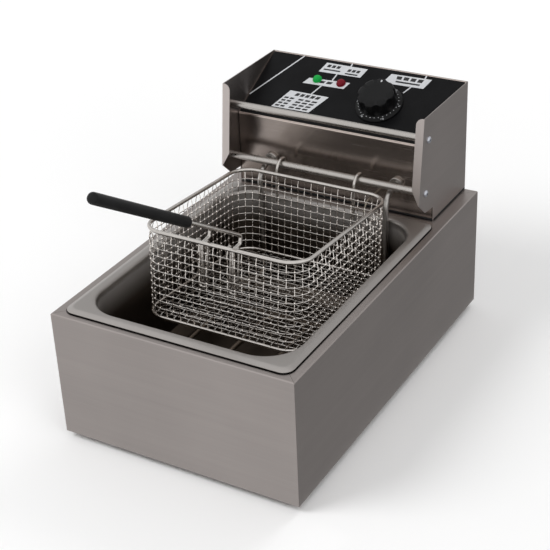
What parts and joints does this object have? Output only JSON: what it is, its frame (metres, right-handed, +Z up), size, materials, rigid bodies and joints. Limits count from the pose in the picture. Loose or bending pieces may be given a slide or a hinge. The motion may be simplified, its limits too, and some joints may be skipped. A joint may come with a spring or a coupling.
{
  "type": "deep fryer",
  "caption": "Counter-top electric deep fryer: box cabinet with an oil tank, lift-off control head with heating element and thermostat, and a wire basket hung on a rod.",
  "frame": {"origin": "on the floor, under the middle of the whole footprint with the handle on", "axes": "+X to the right seen from the front, +Y towards the back where the control head stands, +Z up"},
  "size_m": [0.285, 0.5386, 0.3534],
  "materials": {
    "stainless": "satin stainless sheet",
    "tank_steel": "drawn stainless, polished rim",
    "chrome_wire": "bright chromed wire",
    "element_steel": "bright element tube",
    "zinc_screws": "zinc plated",
    "sensor_brass": "plain copper alloy",
    "label_black": "satin printed foil",
    "knob_black": "moulded, satin",
    "shaft_steel": "turned steel",
    "grip_rubber": "dull rubber",
    "foot_rubber": "dull rubber",
    "lens_green": "clear tinted lens",
    "lens_red": "clear tinted lens",
    "inner_plastic": "pale moulded plastic",
    "gland_plastic": "black moulded plastic"
  },
  "bodies": {
    "cabinet": {"cabinet_shell": "stainless", "base_plate": "stainless", "rubber_feet": "foot_rubber", "oil_tank": "tank_steel"},
    "control_head": {"head_side_left": "stainless", "head_side_right": "stainless", "head_front_panel": "stainless", "head_back_panel": "stainless", "head_base_plate": "stainless", "label_plate": "label_black", "hanging_rod": "chrome_wire", "guard_rod": "chrome_wire", "rod_screws": "zinc_screws", "green_lamp": "lens_green", "red_lamp": "lens_red", "heating_element": "element_steel", "element_nuts": "element_steel", "element_braces": "element_steel", "thermostat_bulb": "sensor_brass", "thermostat_body": "inner_plastic", "terminal_block": "inner_plastic", "cable_gland": "gland_plastic"},
    "knob": {"thermostat_knob": "knob_black", "thermostat_shaft": "shaft_steel"},
    "basket": {"basket_rim": "chrome_wire", "basket_bottom_ring": "chrome_wire", "basket_uprights": "chrome_wire", "basket_rows": "chrome_wire", "basket_floor": "chrome_wire", "basket_hooks": "chrome_wire", "handle_sockets": "chrome_wire"},
    "basket_handle": {"handle_wire": "chrome_wire", "handle_grip": "grip_rubber"}
  },
  "joints": [
    {"name": "head_lift", "type": "slide", "parent": "cabinet", "child": "control_head", "axis": [0, 0, 1], "range_m": [0, 0.2]},
    {"name": "knob_turn", "type": "hinge", "parent": "control_head", "child": "knob", "pos_m": [0.039, 0.20323, 0.26411], "axis": [0, 0.454, -0.891], "range_deg": [0, 290]},
    {"name": "basket_lift", "type": "slide", "parent": "control_head", "child": "basket", "axis": [0, -0.2672, 0.9636], "range_m": [0, 0.26]},
    {"name": "handle_lift", "type": "slide", "parent": "basket", "child": "basket_handle", "axis": [0, 0.0854, 0.9963], "range_m": [0, 0.065]}
  ]
}
